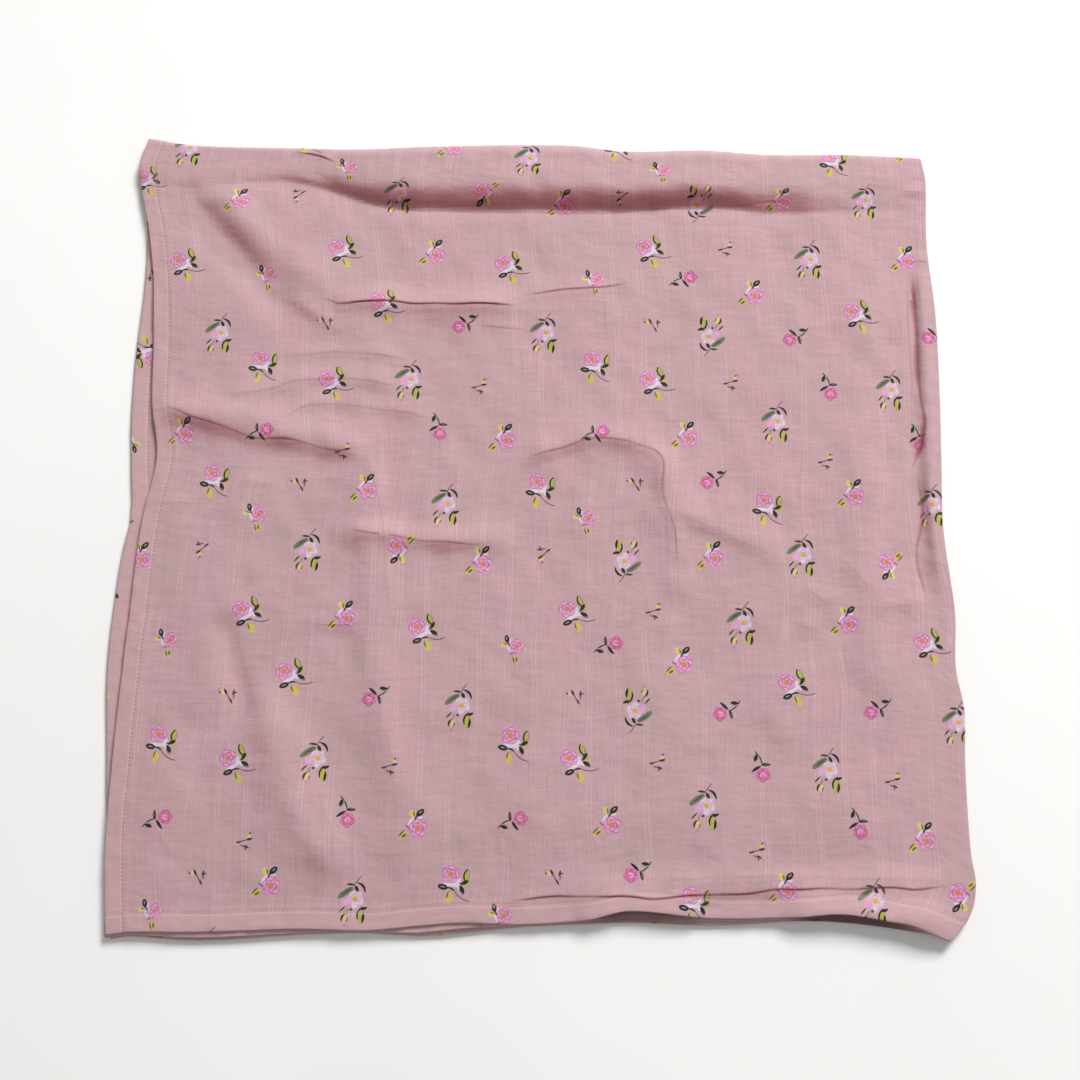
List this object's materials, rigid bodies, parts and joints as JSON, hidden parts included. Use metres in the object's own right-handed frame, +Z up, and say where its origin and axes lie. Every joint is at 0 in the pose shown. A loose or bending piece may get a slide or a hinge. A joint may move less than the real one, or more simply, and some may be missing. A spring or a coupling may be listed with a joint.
{
  "type": "folded muslin play mat",
  "caption": "Thin hemmed muslin play mat with a small rose-sprig print, folded in half twice and laid flat, with a soft rolled top edge.",
  "frame": {"origin": "middle of the footprint, on the surface that the mat rests on", "axes": "+Z up through the folded layers, +X to the side folds, +Y to the rolled top fold; the open hemmed edges lie at -X and -Y"},
  "size_m": [0.6136, 0.6038, 0.0206],
  "materials": {
    "muslin": "dusty pink slub muslin, matt, with small printed rose sprigs"
  },
  "bodies": {
    "root": {"muslin_mat": "muslin"}
  },
  "joints": []
}
